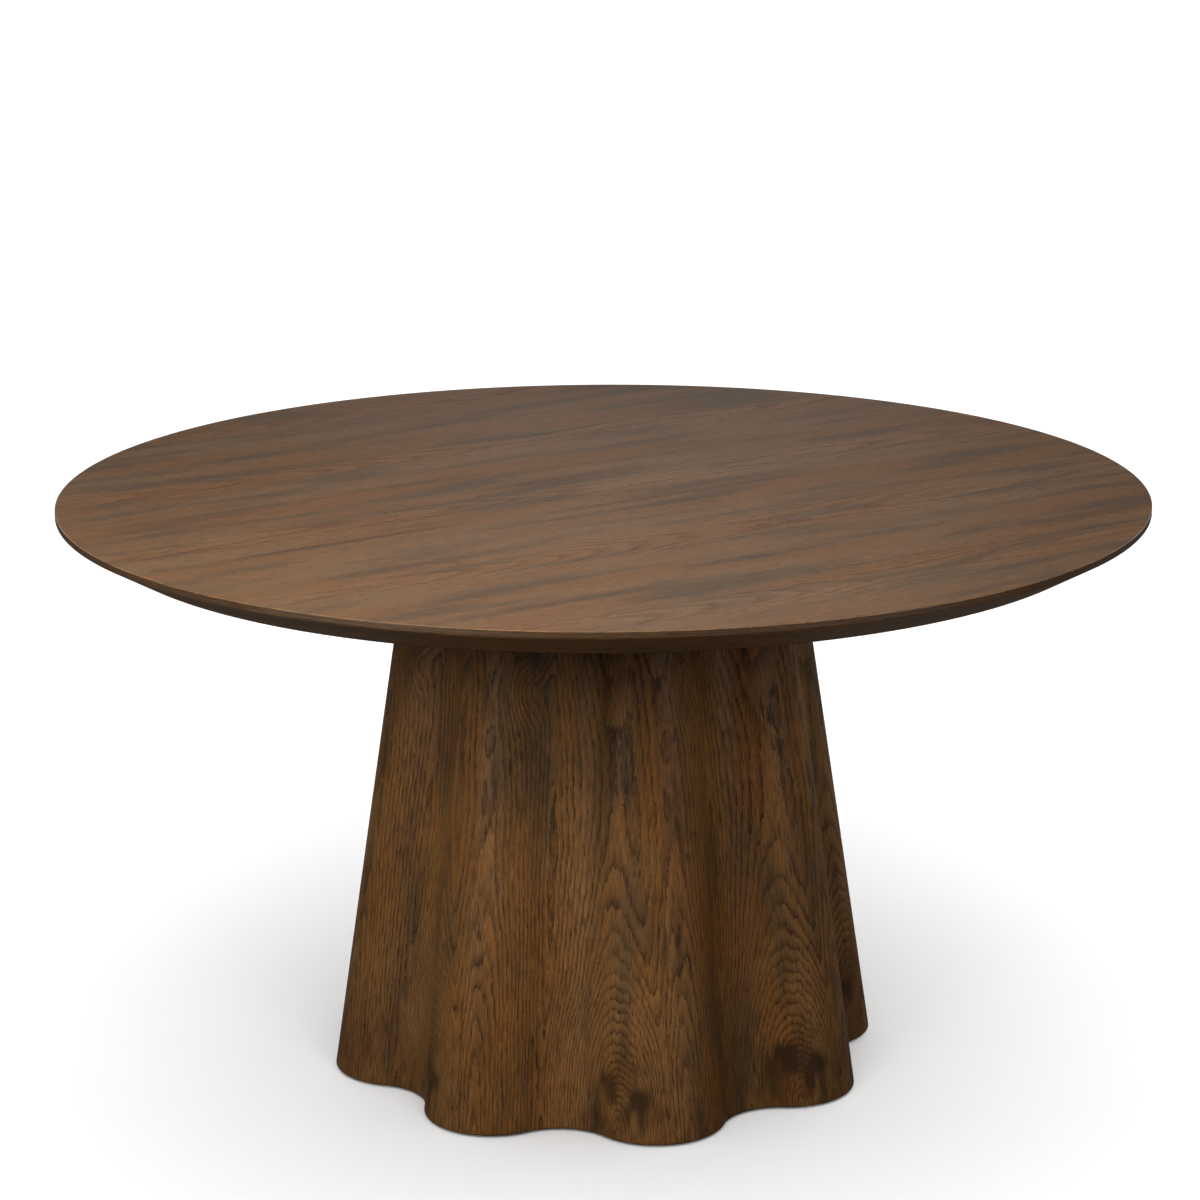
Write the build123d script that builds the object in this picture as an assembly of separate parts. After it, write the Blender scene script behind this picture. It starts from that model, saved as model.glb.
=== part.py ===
from build123d import *
from math import atan2, cos, degrees, pi, radians, sin
import os

# Round dining table on a lobed, flared pedestal. Millimetres, +Z up.
# The origin is on the floor, in the middle of the foot, with one lobe on +X.

# ---------------------------------------------------------------- table top
TABLE_HEIGHT = 760.0
TOP_DIAMETER = 1400.0
TOP_THICKNESS = 41.0
LIP_HEIGHT = 9.0           # upright band of the rim
BEVEL_RUN = 57.5           # how far the bevel under the rim reaches in
LIPPING_WIDTH = 70.0       # solid oak ring outside the core
LIPPING_COUNT = 8
VENEER = 1.0
ARRIS = 0.8                # rounding of the top edge
LIP_EASE = 1.2             # rounding where the lip meets the bevel

# ----------------------------------------------------------------- pedestal
LOBES = 8
FOOT_REACH = 364.0         # centre to the crest of a lobe, at the floor
HEAD_REACH = 254.0         # the same under the table top
LOBE_DEPTH = 59.0          # crest to valley, at the floor
LOBE_RADIUS = 89.0         # round of a lobe, at the floor
SHELL_WALL = 14.0
FOOT_GAP = 3.5             # shadow gap between the shell and the floor
FOOT_EASE = 3.0            # easing of the shell's lower edge
GLUE_LINE = 0.2            # around what is glued inside the shell

# ------------------------------------------------------- carcass inside it
DISC_DIAMETER = 640.0
DISC_THICKNESS = 18.0
DISC_EASE = 2.0
END_FORMER = 24.0          # plywood at the head
FOOT_FORMER = 18.0         # plywood at the foot
MIDDLE_FORMER = 18.0
MIDDLE_LEVEL = 350.0       # underside of the middle former
FOOT_LEVEL = 22.0          # underside of the foot former
POST_SIDE = 90.0
POST_EASE = 4.0
POST_CLEARANCE = 0.5
STRIP_THICKNESS = 12.0
STRIP_HALF_ANGLE = 22.0    # about the centre of the lobe's round

# ---------------------------------------------------------------- fasteners
BOLT_DIAMETER = 8.0
BOLT_CIRCLE = 580.0
BOLT_COUNT = 8
BOLT_HEAD = 5.3
BOLT_ACROSS_FLATS = 13.0
BOLT_REACH = 12.0          # thread inside the core
BOLT_CLEARANCE = 0.5
WASHER_DIAMETER = 24.0
WASHER_THICKNESS = 2.0
INSERT_DIAMETER = 12.0
INSERT_LENGTH = 14.0
INSERT_CLEARANCE = 0.1
SCREW_DIAMETER = 5.0
SCREW_HEAD = 10.0
SCREW_HEAD_HEIGHT = 2.8
SCREW_CLEARANCE = 0.1
SCREW_COVER = 4.0          # wood left beyond a screw's tip
DISC_SCREW_CIRCLE = 300.0
DISC_SCREW_COUNT = 8
POST_SCREW_LENGTH = 60.0
POST_SCREW_SPACING = 44.0

# ---------------------------------------------------------- levelling feet
GLIDE_COUNT = 4
GLIDE_INSET = 69.0         # crest of the lobe to the glide's axis
GLIDE_TRAVEL = 10.0
FELT_DIAMETER = 42.0
FELT_THICKNESS = 3.0
PAD_DIAMETER = 46.0
PAD_HEIGHT = 8.0
PAD_EASE = 2.0
PAD_FLOOR = 3.0            # pad under the stem's end
STEM_DIAMETER = 10.0
STEM_SPARE = 14.0          # stem above the nut, screwed right out
STEM_CHAMFER = 1.0
STEM_CLEARANCE = 0.05      # running fit in the pad and in the nut
COLLAR_ACROSS_FLATS = 17.0
COLLAR_CLEARANCE = 0.3
STOP_GAP = 0.4             # collar to nut, screwed right in
NUT_FLANGE_DIAMETER = 28.0
NUT_FLANGE = 1.6
NUT_BARREL_DIAMETER = 15.0
NUT_CLEARANCE = 0.1

OVERCUT = 1.0              # how far a cutter runs past what it cuts

# ------------------------------------------------------------ worked out
UNDERSIDE = TABLE_HEIGHT - TOP_THICKNESS
TOP_RADIUS = TOP_DIAMETER / 2
CORE_RADIUS = TOP_RADIUS - LIPPING_WIDTH
CORE_BOTTOM = UNDERSIDE + VENEER
CORE_TOP = TABLE_HEIGHT - VENEER
LIP_BOTTOM = TABLE_HEIGHT - LIP_HEIGHT
BEVEL_RADIUS = TOP_RADIUS - BEVEL_RUN
BEVEL_SLOPE = BEVEL_RUN / (LIP_BOTTOM - UNDERSIDE)

DISC_BOTTOM = UNDERSIDE - DISC_THICKNESS
SHELL_TOP = DISC_BOTTOM
HEAD_LEVEL = SHELL_TOP - END_FORMER
FOOT_TOP = FOOT_LEVEL + FOOT_FORMER
MIDDLE_TOP = MIDDLE_LEVEL + MIDDLE_FORMER
TAPER = HEAD_REACH / FOOT_REACH

HALF_PITCH = pi / LOBES
PITCH_DEGREES = 360.0 / LOBES
LOBE_CENTRE = FOOT_REACH - LOBE_RADIUS
VALLEY_REACH = FOOT_REACH - LOBE_DEPTH

# The valley's round touches both lobes beside it. Its centre lies on the
# valley's line, and its distance to a lobe's centre is the sum of the radii.
_gap = VALLEY_REACH - LOBE_RADIUS
_lean = LOBE_CENTRE * cos(HALF_PITCH) - _gap
VALLEY_CENTRE = (LOBE_CENTRE**2 - _gap**2) / (2 * _lean)
VALLEY_RADIUS = VALLEY_CENTRE - VALLEY_REACH

# Angle of the line from a lobe's centre to the valley's. The lobe's round runs
# that far to each side, and the valley's round turns by what is left over.
_along = VALLEY_CENTRE * cos(HALF_PITCH) - LOBE_CENTRE
_across = VALLEY_CENTRE * sin(HALF_PITCH)
LOBE_SWEEP = atan2(_across, _along)
VALLEY_SWEEP = LOBE_SWEEP - HALF_PITCH


# ------------------------------------------------------- the lobed outline
def scale_at(z):
    """Size of the outline at height z, as a share of its size at the floor."""
    return 1 - (1 - TAPER) * z / UNDERSIDE


def lobe_point(z, inset, turn):
    """A point on the lobe at +X, turned about the lobe's own centre."""
    radius = LOBE_RADIUS * scale_at(z) - inset
    x = LOBE_CENTRE * scale_at(z) + radius * cos(turn)
    return Vector(x, radius * sin(turn), z)


def valley_point(z, inset, turn):
    """A point in the valley after that lobe, turned from its deepest point."""
    centre = VALLEY_CENTRE * scale_at(z)
    radius = VALLEY_RADIUS * scale_at(z) + inset
    angle = HALF_PITCH + pi + turn
    x = centre * cos(HALF_PITCH) + radius * cos(angle)
    y = centre * sin(HALF_PITCH) + radius * sin(angle)
    return Vector(x, y, z)


def arc(point, z, inset, first, last):
    """Arc of a lobe or a valley, between two turns."""
    turns = (first, (first + last) / 2, last)
    return Edge.make_three_point_arc(*[point(z, inset, turn) for turn in turns])


def panel_side(z, inset):
    """Open line through one valley, from crest to crest."""
    first_half = arc(lobe_point, z, inset, 0, LOBE_SWEEP)
    valley = arc(valley_point, z, inset, VALLEY_SWEEP, -VALLEY_SWEEP)
    second_half = arc(lobe_point, z, inset, -LOBE_SWEEP, 0)
    return [first_half, valley, second_half.rotate(Axis.Z, PITCH_DEGREES)]


def whole_outline(z, inset):
    """The closed outline of all lobes and valleys."""
    edges = []
    for i in range(LOBES):
        for edge in panel_side(z, inset):
            edges.append(edge.rotate(Axis.Z, i * PITCH_DEGREES))
    return Wire(edges)


def closed_band(outer, inner):
    """Wire round two open lines that run the same way."""
    start = Edge.make_line(outer[0] @ 0, inner[0] @ 0)
    end = Edge.make_line(outer[-1] @ 1, inner[-1] @ 1)
    return Wire([*outer, end, *inner, start])


def panel_section(z, ease):
    outer = panel_side(z, ease)
    return closed_band(outer, panel_side(z, SHELL_WALL))


def strip_section(z):
    near = SHELL_WALL + GLUE_LINE
    half = radians(STRIP_HALF_ANGLE)
    outer = arc(lobe_point, z, near, -half, half)
    inner = arc(lobe_point, z, near + STRIP_THICKNESS, -half, half)
    return closed_band([outer], [inner])


def former(bottom, thickness):
    """Plywood plate that fills the shell at one level."""
    inset = SHELL_WALL + GLUE_LINE
    wires = [whole_outline(z, inset) for z in (bottom, bottom + thickness)]
    return Solid.make_loft(wires, True)


# ------------------------------------------------------------ small shapes
def rod(radius, bottom, top, x=0, y=0):
    return Pos(x, y, (bottom + top) / 2) * Cylinder(radius, top - bottom)


def hex_rod(across_flats, bottom, top, x=0, y=0):
    shape = RegularPolygon(across_flats / 2, 6, major_radius=False)
    return Pos(x, y, bottom) * extrude(shape, top - bottom)


def on_circle(diameter, count, start=0.0):
    """Centres on a bolt circle, the first at an angle in degrees."""
    places = []
    for i in range(count):
        angle = radians(start + i * 360.0 / count)
        places.append((diameter / 2 * cos(angle), diameter / 2 * sin(angle)))
    return places


def screw(x, y, level, length, way, grow=0.0):
    """Countersunk wood screw, its head flush at level, driven along way."""
    head_end = level + way * SCREW_HEAD_HEIGHT
    tip = level + way * (length + grow)
    low, high = sorted((head_end, tip))
    shank = rod(SCREW_DIAMETER / 2 + grow, low, high, x, y)
    wide = SCREW_HEAD / 2 + grow
    slim = SCREW_DIAMETER / 2 + grow
    middle = (level + head_end) / 2
    base, top = (wide, slim) if way > 0 else (slim, wide)
    head = Pos(x, y, middle) * Cone(base, top, SCREW_HEAD_HEIGHT)
    return shank + head


def turned(points, degrees_round=360.0):
    """Solid swept round the Z axis from a closed (radius, height) outline."""
    corners = [(r, 0, z) for r, z in points]
    return revolve(make_face(Polyline(*corners, close=True)), Axis.Z, degrees_round)


def save(name, shape):
    os.makedirs("parts", exist_ok=True)
    shape.label = name
    export_step(shape, f"parts/{name}.step")


# ---------------------------------------------------------------- table top
bolt_places = on_circle(BOLT_CIRCLE, BOLT_COUNT, degrees(HALF_PITCH))
disc_screw_places = on_circle(DISC_SCREW_CIRCLE, DISC_SCREW_COUNT)
disc_screw_length = DISC_THICKNESS + END_FORMER - SCREW_COVER
insert_radius = INSERT_DIAMETER / 2
bolt_hole = (BOLT_DIAMETER + BOLT_CLEARANCE) / 2
core_hole = insert_radius + INSERT_CLEARANCE
insert_bore = BOLT_DIAMETER / 2 + INSERT_CLEARANCE
insert_top = CORE_BOTTOM + INSERT_LENGTH
core_hole_top = insert_top + INSERT_CLEARANCE

core = rod(CORE_RADIUS, CORE_BOTTOM, CORE_TOP)
backing_edge = BEVEL_RADIUS + BEVEL_SLOPE * VENEER
backing = turned(
    [
        (0, UNDERSIDE),
        (BEVEL_RADIUS, UNDERSIDE),
        (backing_edge, CORE_BOTTOM),
        (0, CORE_BOTTOM),
    ]
)
for x, y in bolt_places:
    core -= rod(core_hole, CORE_BOTTOM - OVERCUT, core_hole_top, x, y)
    backing -= rod(core_hole, UNDERSIDE - OVERCUT, CORE_BOTTOM + OVERCUT, x, y)
save("top_core", core)
save("top_backing_veneer", backing)

face = rod(TOP_RADIUS, CORE_TOP, TABLE_HEIGHT)
face = fillet(face.edges().group_by(Axis.Z)[-1], min(ARRIS, 0.9 * VENEER))
save("top_face_veneer", face)

lipping_outline = Polyline(
    (CORE_RADIUS, 0, CORE_BOTTOM),
    (backing_edge, 0, CORE_BOTTOM),
    (TOP_RADIUS, 0, LIP_BOTTOM),
    (TOP_RADIUS, 0, CORE_TOP),
    (CORE_RADIUS, 0, CORE_TOP),
    close=True,
)
segment = revolve(make_face(lipping_outline), Axis.Z, 360.0 / LIPPING_COUNT)
rim_edge = segment.edges().filter_by(GeomType.CIRCLE).sort_by(
    lambda e: abs(e.center().Z - LIP_BOTTOM) + abs(e.radius - TOP_RADIUS)
)[0]
segment = fillet(rim_edge, LIP_EASE)
for i in range(LIPPING_COUNT):
    save(f"lipping_{i + 1}", Rot(0, 0, i * 360.0 / LIPPING_COUNT) * segment)

# -------------------------------------------------- fixing of top to head
washer_bottom = DISC_BOTTOM - WASHER_THICKNESS
bolt_top = CORE_BOTTOM + BOLT_REACH
disc = rod(DISC_DIAMETER / 2, DISC_BOTTOM, UNDERSIDE)
disc = fillet(disc.edges().group_by(Axis.Z)[0], DISC_EASE)
head_former = former(HEAD_LEVEL, END_FORMER)

inserts = []
bolts = []
washers = []
disc_screws = []
for x, y in bolt_places:
    bolt_cut = rod(bolt_hole, washer_bottom - OVERCUT, UNDERSIDE + OVERCUT, x, y)
    disc -= bolt_cut
    washers.append(rod(WASHER_DIAMETER / 2, washer_bottom, DISC_BOTTOM, x, y) - bolt_cut)
    insert = rod(insert_radius, CORE_BOTTOM, insert_top, x, y)
    insert -= rod(insert_bore, UNDERSIDE, insert_top + OVERCUT, x, y)
    inserts.append(insert)
    shank = rod(BOLT_DIAMETER / 2, washer_bottom, bolt_top, x, y)
    head = hex_rod(BOLT_ACROSS_FLATS, washer_bottom - BOLT_HEAD, washer_bottom, x, y)
    bolts.append(shank + head)
for x, y in disc_screw_places:
    cut = screw(x, y, UNDERSIDE, disc_screw_length, -1, SCREW_CLEARANCE)
    disc -= cut
    head_former -= cut
    disc_screws.append(screw(x, y, UNDERSIDE, disc_screw_length, -1))

# ----------------------------------------------------------------- carcass
foot_former = former(FOOT_LEVEL, FOOT_FORMER)
middle_former = former(MIDDLE_LEVEL, MIDDLE_FORMER)
hole_side = POST_SIDE + 2 * POST_CLEARANCE
post_hole = extrude(Rectangle(hole_side, hole_side), MIDDLE_FORMER + 2 * OVERCUT)
middle_former -= Pos(0, 0, MIDDLE_LEVEL - OVERCUT) * post_hole

post = extrude(RectangleRounded(POST_SIDE, POST_SIDE, POST_EASE), HEAD_LEVEL - FOOT_TOP)
post = Pos(0, 0, FOOT_TOP) * post
post_screws = []
half = POST_SCREW_SPACING / 2
for x in (-half, half):
    for y in (-half, half):
        for level, way in ((SHELL_TOP, -1), (FOOT_LEVEL, 1)):
            cut = screw(x, y, level, POST_SCREW_LENGTH, way, SCREW_CLEARANCE)
            post -= cut
            head_former -= cut
            foot_former -= cut
            post_screws.append(screw(x, y, level, POST_SCREW_LENGTH, way))

# ---------------------------------------------------------- levelling feet
nut_bottom = FOOT_LEVEL - NUT_FLANGE
collar_top = nut_bottom - STOP_GAP
stem_bottom = FELT_THICKNESS + PAD_FLOOR
stem_top = FOOT_TOP + GLIDE_TRAVEL + STEM_SPARE
pad_top = FELT_THICKNESS + PAD_HEIGHT
collar_bottom = pad_top + COLLAR_CLEARANCE
running_bore = STEM_DIAMETER / 2 + STEM_CLEARANCE
nut_hole = NUT_BARREL_DIAMETER / 2 + NUT_CLEARANCE
glide_circle = 2 * (FOOT_REACH - GLIDE_INSET)
nuts = []
for i, (x, y) in enumerate(on_circle(glide_circle, GLIDE_COUNT)):
    stem = rod(STEM_DIAMETER / 2, stem_bottom, stem_top, x, y)
    stem += hex_rod(COLLAR_ACROSS_FLATS, collar_bottom, collar_top, x, y)
    stem = chamfer(stem.edges().group_by(Axis.Z)[-1], STEM_CHAMFER)
    save(f"glide_stem_{i + 1}", stem)

    pad = rod(PAD_DIAMETER / 2, FELT_THICKNESS, pad_top, x, y)
    pad = fillet(pad.edges().group_by(Axis.Z)[-1], PAD_EASE)
    pad -= rod(running_bore, stem_bottom - STEM_CLEARANCE, stem_top, x, y)
    save(f"glide_pad_{i + 1}", pad)
    save(f"glide_felt_{i + 1}", rod(FELT_DIAMETER / 2, 0, FELT_THICKNESS, x, y))

    nut = rod(NUT_BARREL_DIAMETER / 2, nut_bottom, FOOT_TOP, x, y)
    nut += rod(NUT_FLANGE_DIAMETER / 2, nut_bottom, FOOT_LEVEL, x, y)
    nuts.append(nut - rod(running_bore, 0, stem_top, x, y))
    foot_former -= rod(nut_hole, nut_bottom, FOOT_TOP + OVERCUT, x, y)

# ------------------------------------------------------------------- shell
wires = [panel_section(FOOT_GAP, FOOT_EASE)]
wires.append(panel_section(FOOT_GAP + FOOT_EASE, 0))
wires.append(panel_section(SHELL_TOP, 0))
panel = Solid.make_loft(wires, True)
for i in range(LOBES):
    save(f"shell_panel_{i + 1}", panel.rotate(Axis.Z, i * PITCH_DEGREES))

spans = {
    "lower": (FOOT_TOP, MIDDLE_LEVEL),
    "upper": (MIDDLE_TOP, HEAD_LEVEL),
}
for part_name, levels in spans.items():
    strip = Solid.make_loft([strip_section(z) for z in levels], True)
    for i in range(LOBES):
        turned_strip = strip.rotate(Axis.Z, i * PITCH_DEGREES)
        save(f"seam_strip_{part_name}_{i + 1}", turned_strip)

# -------------------------------------------------------------------- save
save("mounting_disc", disc)
save("head_former", head_former)
save("middle_former", middle_former)
save("foot_former", foot_former)
save("centre_post", post)
save("top_inserts", Compound(children=inserts))
save("mounting_bolts", Compound(children=bolts))
save("mounting_washers", Compound(children=washers))
save("disc_screws", Compound(children=disc_screws))
save("post_screws", Compound(children=post_screws))
save("glide_nuts", Compound(children=nuts))
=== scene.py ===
"""Round dining table on a lobed, flared pedestal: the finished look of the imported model.

Units are metres. +Z is up, the origin is on the floor in the middle of the foot, and
one crest of the pedestal lies on +X, as in the model.
"""

import logging
from dataclasses import dataclass
from math import atan2, cos, pi, radians, sin, tau

import bpy
import numpy as np
from mathutils import Matrix, Vector


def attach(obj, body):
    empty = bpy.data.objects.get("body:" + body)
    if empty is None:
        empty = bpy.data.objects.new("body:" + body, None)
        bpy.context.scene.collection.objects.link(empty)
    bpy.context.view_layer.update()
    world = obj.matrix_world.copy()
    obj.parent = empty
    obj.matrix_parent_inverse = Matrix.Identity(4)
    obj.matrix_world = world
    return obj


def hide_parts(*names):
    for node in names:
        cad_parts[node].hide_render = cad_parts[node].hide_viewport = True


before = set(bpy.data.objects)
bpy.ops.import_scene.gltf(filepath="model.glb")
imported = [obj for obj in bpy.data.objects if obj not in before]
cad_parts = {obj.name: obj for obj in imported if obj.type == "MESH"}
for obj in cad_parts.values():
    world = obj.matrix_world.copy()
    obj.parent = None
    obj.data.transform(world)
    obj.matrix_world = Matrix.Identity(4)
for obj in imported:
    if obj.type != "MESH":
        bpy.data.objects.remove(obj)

logging.basicConfig(level=logging.INFO, format="%(message)s")
LOG = logging.getLogger("table")

Array = np.ndarray
Color = tuple[float, float, float]
Socket = bpy.types.NodeSocket

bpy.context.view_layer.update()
TABLE_BODY = "table"

ARC_POINTS = 5  # points on a quarter-round edge
SHARP_FROM = 35.0  # edges that turn by more degrees than this stay sharp
LATTICE_SIDE = 64
MIX_FIRST_COLOR, MIX_SECOND_COLOR, MIX_COLOR_RESULT = 6, 7, 2  # a Mix node's colour sockets


# --------------------------------------------------------------------- numbers
def soft_noise(x: Array, y: Array, seed: int) -> Array:
    """Smooth random height over a plane, one bump per unit.

    Random heights stand on a square lattice that repeats every LATTICE_SIDE cells.
    Between them the height eases along 3t^2 - 2t^3 in x and in y.

    Args:
        x: First coordinate, in cells.
        y: Second coordinate, in cells.
        seed: Which lattice to use.

    Returns:
        Heights from -1 to 1, in the shape of x.
    """
    side = LATTICE_SIDE
    lattice = np.random.default_rng(seed).uniform(-1.0, 1.0, (side, side))
    left = np.floor(x).astype(int)
    low = np.floor(y).astype(int)
    across = x - left
    up = y - low
    across = across * across * (3.0 - 2.0 * across)
    up = up * up * (3.0 - 2.0 * up)
    columns = (left % side, (left + 1) % side)
    rows = (low % side, (low + 1) % side)
    bottom = lattice[rows[0], columns[0]] * (1 - across) + lattice[rows[0], columns[1]] * across
    top = lattice[rows[1], columns[0]] * (1 - across) + lattice[rows[1], columns[1]] * across
    return bottom * (1 - up) + top * up


def eased(value: Array, start: float, end: float) -> Array:
    """Smooth step from 0 at start to 1 at end, along 3t^2 - 2t^3."""
    t = np.clip((value - start) / (end - start), 0.0, 1.0)
    return t * t * (3.0 - 2.0 * t)


# ----------------------------------------------------------------- oak figure
@dataclass(frozen=True)
class Wave:
    """A random swing over a leaf, of its rings or of its darkness.

    height is how far it swings each way. across and along are the length of one
    swing in each direction of the leaf, and seed picks the swings.
    """

    height: float
    across: float
    along: float
    seed: int

    def at(self, across: Array, along: Array, number: int = 0) -> Array:
        """The swing at places on the leaf. Each number gives other swings."""
        return self.height * soft_noise(across / self.across, along / self.along, self.seed + number)


@dataclass(frozen=True)
class Knot:
    """A swelling of the growth rings, which bend or close round it.

    across is the distance from the leaf's left edge as a share of its width, up the
    height in metres. width and height are the half sizes in metres, lift is how far
    the rings are pushed, in metres, and stain how much darker the wood is.
    """

    across: float
    up: float
    width: float
    height: float
    lift: float
    stain: float = 0.0


@dataclass(frozen=True)
class Bend:
    """A height where the cut starts to near the log's heart, or to leave it.

    Beyond the height, on the side that the sign of way points to, the distance falls
    by slope metres in each metre. The change is spread over about reach metres.
    """

    height: float
    slope: float
    way: float = -1.0
    reach: float = 0.020

    def fall(self, up: Array) -> Array:
        """How far the distance has fallen at a height: slope * reach * log(1 + e^(x / reach))."""
        beyond = self.way * (up - self.height) / self.reach
        return self.slope * self.reach * np.logaddexp(0.0, beyond)


@dataclass(frozen=True)
class Crown:
    """A line along the leaf where the cut runs nearest the log's heart.

    A cut that passes the heart at a distance d meets, at u to the side, the ring of
    radius sqrt((steepness * u)^2 + d^2). Where the bends let d fall, the rings close
    over the line in pointed arches.
    """

    across: float
    lean: float
    base: float
    heart: float
    steepness: float
    bends: tuple[Bend, ...]

    def radius(self, share: Array, up: Array, span: Array) -> Array:
        """Distance from the log's heart at each point, plus a base, in metres."""
        line = self.across + self.lean * (0.43 - up)
        side = (share - line) * span
        depth = self.heart - sum(bend.fall(up) for bend in self.bends)
        return self.base + np.hypot(self.steepness * side, depth)


@dataclass(frozen=True)
class LeafFigure:
    """Growth rings as a flat knife cuts them from a log with several crowns.

    The nearest crown's rings count, and where two crowns meet the rings are rounded
    over, across about blend metres. Waves, ripples and knots bend them. Below foot_top
    the ripples grow down to ripple_full and the wood darkens down to darkening_full. The
    waves' lengths are in metres, but flecks and patches go by the share of the leaf.
    """

    crowns: tuple[Crown, ...]
    knots: tuple[Knot, ...]
    ring_width: float = 0.0046
    blend: float = 0.007
    slow_wave: Wave = Wave(0.0032, 0.050, 0.200, 12)
    quick_wave: Wave = Wave(0.0012, 0.022, 0.060, 13)
    own_wave: Wave = Wave(0.0008, 0.035, 0.110, 71)
    ripple: Wave = Wave(0.0004, 0.009, 0.090, 11)
    foot_ripple: Wave = Wave(0.0016, 0.009, 0.090, 11)
    ripple_shift: float = 0.0657
    uneven: Wave = Wave(0.40, 0.017, 1.0, 14)
    foot_top: float = 0.26
    ripple_full: float = 0.14
    darkening_full: float = 0.04
    # How much darker the wood gets towards the floor, below foot_top.
    foot_darkening: float = 0.30
    plain_stain: float = 0.8
    flecks: Wave = Wave(0.64, 1.0 / 30.0, 0.020, 21)
    patches: Wave = Wave(0.64, 1.0 / 9.0, 0.055, 81)

    def rings(self, share: Array, span: Array, up: Array, number: int) -> Array:
        """Ring number at each point.

        Args:
            share: Place across the leaf, 0 at its left edge and 1 at its right.
            span: Width of the leaf there, in metres.
            up: Height, in metres.
            number: The leaf's number, which picks its own small waves.

        Returns:
            Radius of the ring through each point, in ring widths.
        """
        side = share * span
        fields = [-crown.radius(share, up, span) / self.blend for crown in self.crowns]
        radius = -self.blend * np.logaddexp.reduce(fields)
        near_foot = eased(up, self.foot_top, self.ripple_full)
        radius += self.slow_wave.at(side, up)
        radius += self.quick_wave.at(side, up)
        radius += self.ripple.at(side + self.ripple_shift, up)
        radius += near_foot * self.foot_ripple.at(side + self.ripple_shift, up)
        radius += self.own_wave.at(side, up, number)
        for knot in self.knots:
            radius += knot.lift * self.nearness(knot, share, span, up)
        return radius / self.ring_width + self.uneven.at(radius, np.zeros_like(radius))

    def nearness(self, knot: Knot, share: Array, span: Array, up: Array) -> Array:
        """Bell-shaped nearness to a knot, 1 at its middle."""
        across = (share - knot.across) * span / knot.width
        along = (up - knot.up) / knot.height
        return np.exp(-(across**2) - along**2)

    def stain(self, share: Array, span: Array, up: Array, number: int) -> Array:
        """How dark the wood is round the knots and at the foot, from 0 to 1."""
        dark = np.zeros_like(up)
        for knot in self.knots:
            dark += knot.stain * self.nearness(knot, share, span, up)
        # Darker towards the floor below foot_top.
        dark += self.foot_darkening * eased(up, self.foot_top, self.darkening_full)
        mottle = self.flecks.at(share, up) + self.patches.at(share, up, number)
        return np.clip(dark * (self.plain_stain + mottle), 0.0, 1.0)


MIDDLE_BENDS = (Bend(0.385, 0.125), Bend(0.200, 0.29), Bend(0.520, 0.10, 1.0))
SIDE_BENDS = (Bend(0.330, 0.09), Bend(0.600, 0.15, 1.0))

PEDESTAL_LEAF = LeafFigure(
    crowns=(
        Crown(0.745, 0.02, 0.000, 0.105, 1.30, MIDDLE_BENDS),
        Crown(0.045, 0.10, 0.056, 0.034, 1.00, SIDE_BENDS),
        Crown(1.045, 0.10, 0.056, 0.034, 1.00, SIDE_BENDS),
    ),
    knots=(
        # The swirl under the head.
        Knot(0.230, 0.560, 0.026, 0.036, 0.016, 0.10),
        Knot(0.250, 0.610, 0.026, 0.028, -0.008, 0.45),
        Knot(0.150, 0.610, 0.010, 0.030, 0.009, 0.20),
        # The eyes beside the crest.
        Knot(0.040, 0.500, 0.0075, 0.022, 0.007, 0.45),
        Knot(0.035, 0.425, 0.0080, 0.040, 0.006, 0.60),
        Knot(0.060, 0.250, 0.0060, 0.050, 0.005, 0.50),
        # The whorls at the foot.
        Knot(0.690, 0.070, 0.0180, 0.026, 0.004, 0.50),
        Knot(0.830, 0.050, 0.0160, 0.030, -0.004, 0.62),
        Knot(0.620, 0.030, 0.0240, 0.022, 0.002, 0.25),
        Knot(0.760, 0.110, 0.0300, 0.030, 0.002, 0.20),
    ),
)


# -------------------------------------------------------------- mesh building
@dataclass
class Skin:
    """Points of a surface on a grid, with what its finish reads at each point.

    place has the shape (rows, columns, 3), leaf (rows, columns, 2): distance across
    and along the grain in metres. rings and stain have the shape (rows, columns).
    """

    place: Array
    leaf: Array
    rings: Array
    stain: Array

    @classmethod
    def joined(cls, parts: list["Skin"]) -> "Skin":
        """Several skins with the same rows as one, side by side."""
        return cls(
            np.concatenate([part.place for part in parts], axis=1),
            np.concatenate([part.leaf for part in parts], axis=1),
            np.concatenate([part.rings for part in parts], axis=1),
            np.concatenate([part.stain for part in parts], axis=1),
        )


def grid_quads(rows: int, columns: int, wrap: bool) -> Array:
    """Corner numbers of a grid's quads.

    Args:
        rows: Rows of points.
        columns: Points in a row.
        wrap: Whether the last column joins the first.

    Returns:
        One row of four point numbers per quad.
    """
    number = np.arange(rows * columns).reshape(rows, columns)
    beside = np.roll(number, -1, axis=1)
    if not wrap:
        number = number[:, :-1]
        beside = beside[:, :-1]
    corners = (number[:-1], beside[:-1], beside[1:], number[1:])
    return np.stack([corner.ravel() for corner in corners], axis=1)


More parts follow.
